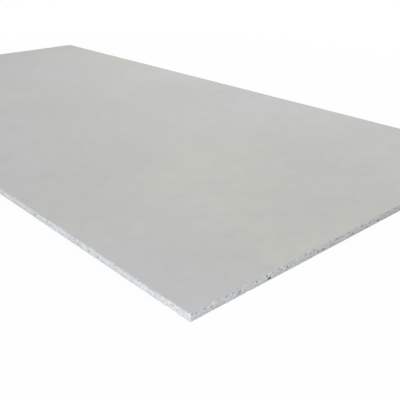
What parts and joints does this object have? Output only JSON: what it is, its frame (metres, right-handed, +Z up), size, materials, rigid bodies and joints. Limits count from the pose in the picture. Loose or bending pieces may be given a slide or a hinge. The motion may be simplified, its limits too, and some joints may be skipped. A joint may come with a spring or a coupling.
{
  "type": "drywall sheet",
  "caption": "Rectangular drywall sheet lying flat: a white gypsum core between grey paper liners, sawn square on every edge, for lining walls and ceilings.",
  "frame": {"origin": "under the middle of the sheet, on the outside of the back liner, where the sheet lies on a floor", "axes": "+Z up, out of the face liner; +Y along the sheet's length; +X across its width"},
  "size_m": [0.9, 1.8, 0.0125],
  "materials": {
    "face_paper": "matte",
    "gypsum": "matte",
    "back_paper": "matte"
  },
  "bodies": {
    "root": {"face_paper": "face_paper", "gypsum_core": "gypsum", "back_paper": "back_paper"}
  },
  "joints": []
}
